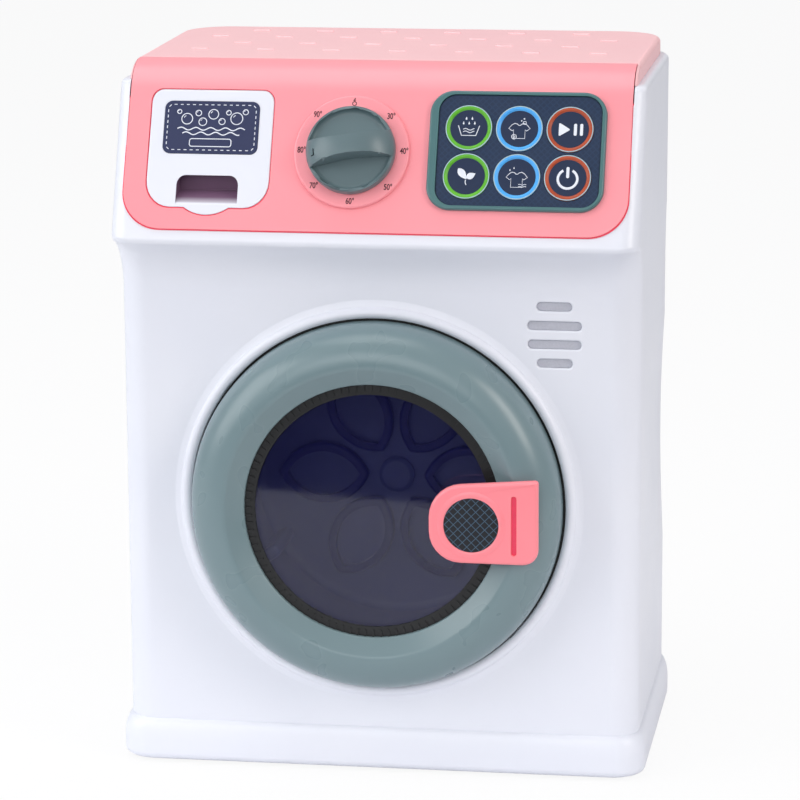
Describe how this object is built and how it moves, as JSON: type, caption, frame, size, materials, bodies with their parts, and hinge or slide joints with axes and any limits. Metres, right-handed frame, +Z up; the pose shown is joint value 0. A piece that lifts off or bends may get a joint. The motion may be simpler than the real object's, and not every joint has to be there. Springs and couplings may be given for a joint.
{
  "type": "toy washing machine",
  "caption": "Toy front-loading washing machine: case with a flared head, leaning control panel with dial, keys and drawer, hinged round door with latch, geared drum.",
  "frame": {"origin": "on the ground under the middle of the bounding box", "axes": "+X to the right seen from the front, +Y to the back, +Z up; the door faces -Y"},
  "size_m": [0.2052, 0.152, 0.274],
  "materials": {
    "white_plastic": "smooth satin",
    "pink_plastic": "smooth satin",
    "pale_pink_plastic": "smooth satin",
    "drawer_white": "smooth satin",
    "inner_white": "plain",
    "label_blue": "printed label",
    "grey_green_plastic": "smooth satin",
    "black_plastic": "plain",
    "dark_plastic": "plain",
    "sheet_blue": "printed sheet",
    "key_green": "printed",
    "key_blue": "printed",
    "key_red": "printed",
    "board_green": "circuit board",
    "latch_pink": "smooth satin",
    "badge_dark": "smooth",
    "tub_grey": "plain",
    "drum_blue": "plain",
    "bronze": "plain",
    "gear_white": "plain",
    "battery_blue": "plain sleeve",
    "dark_window": "clear, tinted dark",
    "rubber": "matt",
    "steel": "plain"
  },
  "bodies": {
    "case": {"case_shell": "white_plastic", "control_panel": "pink_plastic", "top_cover": "pale_pink_plastic", "rear_cover": "white_plastic", "rear_screws": "steel", "rubber_feet": "rubber", "drawer_guide": "inner_white", "dial_switch": "black_plastic", "button_frame": "grey_green_plastic", "button_sheet": "sheet_blue", "key_switches": "black_plastic", "circuit_board": "board_green", "board_screws": "steel", "speaker": "black_plastic", "hinge_bracket": "dark_plastic", "tub": "tub_grey", "drum_bush": "bronze", "motor": "steel", "motor_plate": "steel", "plate_screws": "steel", "battery_box": "black_plastic", "batteries": "battery_blue", "battery_contacts": "steel"},
    "door": {"door_ring": "grey_green_plastic", "door_window": "dark_window", "door_back": "dark_plastic", "hinge_pin": "steel", "latch_pin": "steel"},
    "latch": {"latch": "latch_pink", "latch_badge": "badge_dark", "latch_spring": "steel"},
    "drum": {"drum": "drum_blue", "drum_shaft": "steel", "drum_gear": "gear_white", "shaft_clip": "steel"},
    "pinion": {"motor_pinion": "gear_white"},
    "knob": {"knob": "grey_green_plastic", "knob_shaft": "steel"},
    "drawer": {"drawer": "drawer_white", "drawer_label": "label_blue"},
    "battery_door": {"battery_door": "white_plastic", "battery_screw": "steel"},
    "key_wash": {"key_wash": "key_green"},
    "key_rinse": {"key_rinse": "key_blue"},
    "key_start": {"key_start": "key_red"},
    "key_eco": {"key_eco": "key_green"},
    "key_dry": {"key_dry": "key_blue"},
    "key_power": {"key_power": "key_red"}
  },
  "joints": [
    {"name": "door_swing", "type": "hinge", "parent": "case", "child": "door", "pos_m": [-0.067, -0.061, 0.107], "axis": [0, 0, -1], "range_deg": [0, 110]},
    {"name": "latch_turn", "type": "hinge", "parent": "door", "child": "latch", "pos_m": [0.0585, -0.0658, 0.1055], "axis": [0, 0, 1], "range_deg": [0, 12], "stiffness_Nm_per_rad": 0.08, "springref_deg": -11.46},
    {"name": "drum_spin", "type": "hinge", "parent": "case", "child": "drum", "pos_m": [0, -0.014, 0.107], "axis": [0, 1, 0], "continuous": true},
    {"name": "pinion_spin", "type": "hinge", "parent": "case", "child": "pinion", "pos_m": [0, 0.006, 0.143], "axis": [0, 1, 0], "continuous": true},
    {"name": "knob_turn", "type": "hinge", "parent": "case", "child": "knob", "pos_m": [-0.009, -0.0529, 0.2421], "axis": [0, -0.9063, 0.4226], "continuous": true},
    {"name": "drawer_slide", "type": "slide", "parent": "case", "child": "drawer", "axis": [0, -1, 0], "range_m": [0, 0.034]},
    {"name": "key_wash_press", "type": "slide", "parent": "case", "child": "key_wash", "axis": [0, 0.9063, -0.4226], "range_m": [0, 0.0007], "stiffness_N_per_m": 900, "springref_m": -0.0004},
    {"name": "key_rinse_press", "type": "slide", "parent": "case", "child": "key_rinse", "axis": [0, 0.9063, -0.4226], "range_m": [0, 0.0007], "stiffness_N_per_m": 900, "springref_m": -0.0004},
    {"name": "key_start_press", "type": "slide", "parent": "case", "child": "key_start", "axis": [0, 0.9063, -0.4226], "range_m": [0, 0.0007], "stiffness_N_per_m": 900, "springref_m": -0.0004},
    {"name": "key_eco_press", "type": "slide", "parent": "case", "child": "key_eco", "axis": [0, 0.9063, -0.4226], "range_m": [0, 0.0007], "stiffness_N_per_m": 900, "springref_m": -0.0004},
    {"name": "key_dry_press", "type": "slide", "parent": "case", "child": "key_dry", "axis": [0, 0.9063, -0.4226], "range_m": [0, 0.0007], "stiffness_N_per_m": 900, "springref_m": -0.0004},
    {"name": "key_power_press", "type": "slide", "parent": "case", "child": "key_power", "axis": [0, 0.9063, -0.4226], "range_m": [0, 0.0007], "stiffness_N_per_m": 900, "springref_m": -0.0004},
    {"name": "battery_door_lift", "type": "slide", "parent": "case", "child": "battery_door", "axis": [0, 1, 0], "range_m": [0, 0.02]}
  ],
  "couplings": [
    {"joint": "pinion_spin", "follows": "drum_spin", "ratio": -5}
  ]
}
